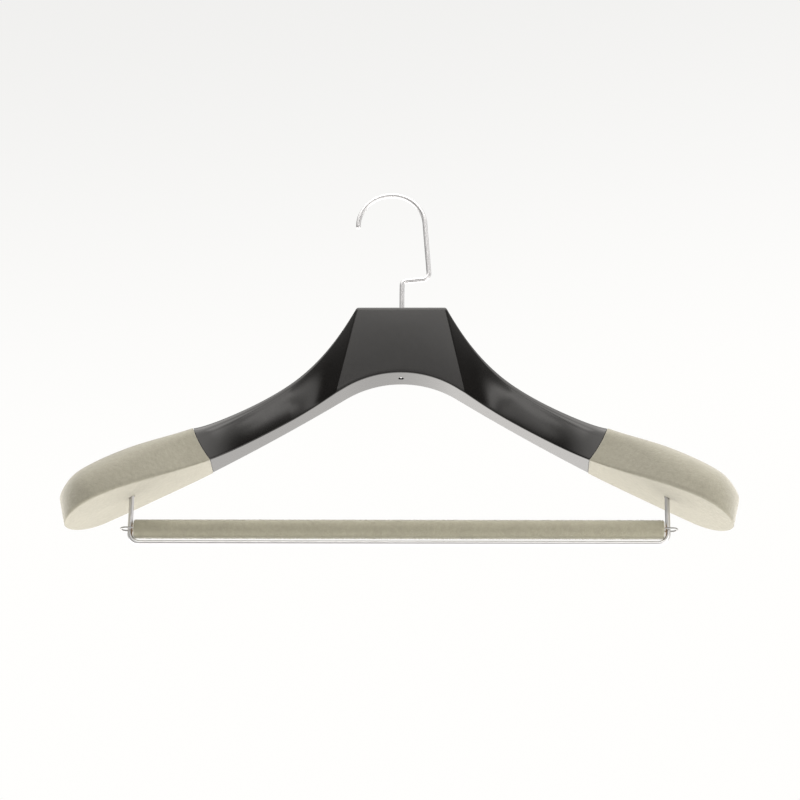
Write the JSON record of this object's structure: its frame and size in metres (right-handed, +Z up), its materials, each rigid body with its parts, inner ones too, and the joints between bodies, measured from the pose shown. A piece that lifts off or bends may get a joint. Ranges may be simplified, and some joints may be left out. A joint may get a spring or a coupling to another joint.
{
  "type": "velvet hanger",
  "caption": "Wide-shouldered suit hanger: black lacquered arms with beige velvet ends, a swivel hook and a velvet trouser bar that floats on a wire frame.",
  "frame": {"origin": "inside top of the hook's arc, where the hook rests on a rail", "axes": "+Z up along the hook's shank, +X along the hanger towards its right arm, the flat front face of the neck looks along -Y"},
  "size_m": [0.4386, 0.0662, 0.264],
  "materials": {
    "hook_steel": "polished steel wire",
    "frame_steel": "polished steel wire",
    "fitting_steel": "plain steel",
    "bush_brass": "turned brass",
    "black_lacquer": "gloss black lacquer over wood",
    "bare_wood": "plain wood, not seen from outside",
    "arm_velvet": "short-pile beige velvet",
    "bar_velvet": "short-pile beige velvet"
  },
  "bodies": {
    "swivel_hook": {"hook": "hook_steel", "hook_collar": "fitting_steel"},
    "hanger": {"left_arm": "black_lacquer", "right_arm": "black_lacquer", "hook_bush": "bush_brass", "front_dowel": "bare_wood", "rear_dowel": "bare_wood", "left_velvet_cover": "arm_velvet", "right_velvet_cover": "arm_velvet", "bar_frame_wire": "frame_steel"},
    "trouser_bar": {"bar_core": "bare_wood", "bar_velvet_sleeve": "bar_velvet", "left_bar_eye": "fitting_steel", "right_bar_eye": "fitting_steel"}
  },
  "joints": [
    {"name": "hook_swivel", "type": "hinge", "parent": "swivel_hook", "child": "hanger", "pos_m": [0.0076, 0, -0.087], "axis": [0, 0, 1], "continuous": true},
    {"name": "bar_slide", "type": "slide", "parent": "hanger", "child": "trouser_bar", "axis": [0, 0, 1], "range_m": [0, 0.016]}
  ]
}
